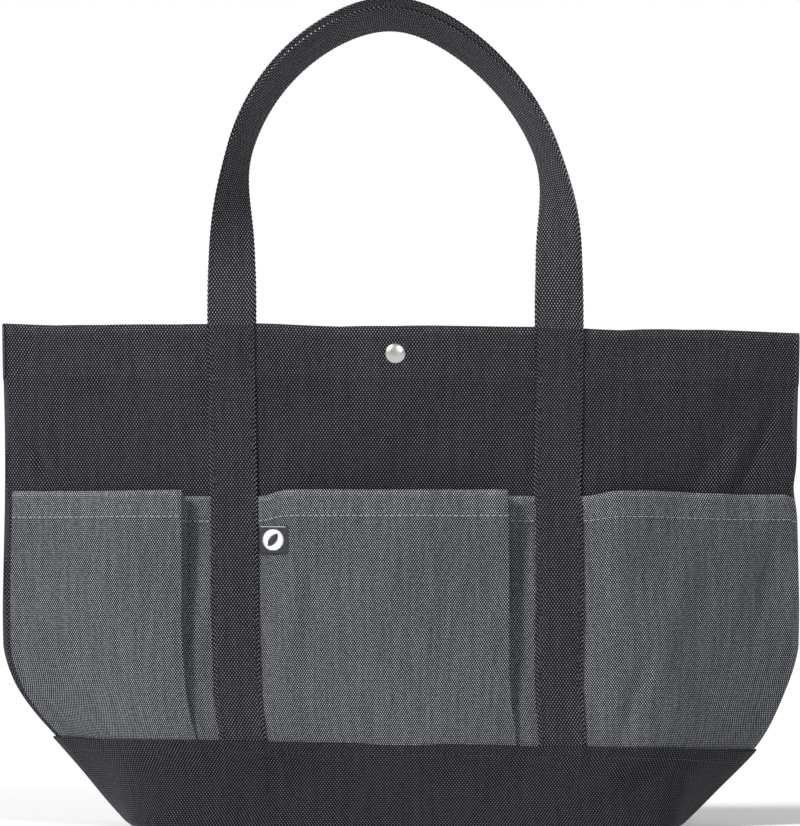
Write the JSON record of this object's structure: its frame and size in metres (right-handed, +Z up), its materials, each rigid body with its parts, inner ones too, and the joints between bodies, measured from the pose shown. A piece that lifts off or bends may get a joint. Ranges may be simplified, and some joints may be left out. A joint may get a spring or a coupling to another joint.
{
  "type": "garden tool bag",
  "caption": "Open-topped canvas garden tool bag with pleated outer pockets, two webbing carry handles and a press snap at the mouth.",
  "frame": {"origin": "centre of the base where the bag stands on the ground", "axes": "+Z up, +X to the right seen from the front, -Y the front with the label"},
  "size_m": [0.507, 0.164, 0.5295],
  "materials": {
    "dark_canvas": "heavy woven canvas, matt charcoal",
    "grey_canvas": "woven canvas, matt grey",
    "webbing": "woven webbing, charcoal",
    "binding": "woven seam binding, black",
    "label": "woven label, slate grey",
    "nickel": "satin nickel"
  },
  "bodies": {
    "shell": {"base_panel": "dark_canvas", "side_seam_left": "binding", "front_panel_left": "dark_canvas", "front_pocket_left": "grey_canvas", "back_panel_left": "dark_canvas", "back_pocket_left": "grey_canvas", "side_seam_right": "binding", "front_panel_right": "dark_canvas", "front_pocket_right": "grey_canvas", "back_panel_right": "dark_canvas", "back_pocket_right": "grey_canvas"},
    "front_wall": {"front_panel_middle": "dark_canvas", "front_pocket_middle": "grey_canvas", "front_strap_left": "webbing", "front_strap_right": "webbing", "snap_cap": "nickel", "snap_socket": "nickel", "label_tab": "label"},
    "back_wall": {"back_panel_middle": "dark_canvas", "back_pocket_middle": "grey_canvas", "back_strap_left": "webbing", "back_strap_right": "webbing", "snap_stud": "nickel", "snap_stud_cap": "nickel"},
    "front_handle": {"front_handle": "webbing"},
    "back_handle": {"back_handle": "webbing"}
  },
  "joints": [
    {"name": "front_wall_close", "type": "slide", "parent": "shell", "child": "front_wall", "axis": [0, 1, 0], "range_m": [0, 0.042], "stiffness_N_per_m": 12},
    {"name": "back_wall_close", "type": "slide", "parent": "shell", "child": "back_wall", "axis": [0, -1, 0], "range_m": [0, 0.042], "stiffness_N_per_m": 12},
    {"name": "front_handle_fold", "type": "hinge", "parent": "front_wall", "child": "front_handle", "pos_m": [-0.0035, -0.0502, 0.3193], "axis": [1, 0, 0], "range_deg": [0, 160]},
    {"name": "back_handle_fold", "type": "hinge", "parent": "back_wall", "child": "back_handle", "pos_m": [-0.0035, 0.0502, 0.3193], "axis": [-1, 0, 0], "range_deg": [0, 160]}
  ]
}
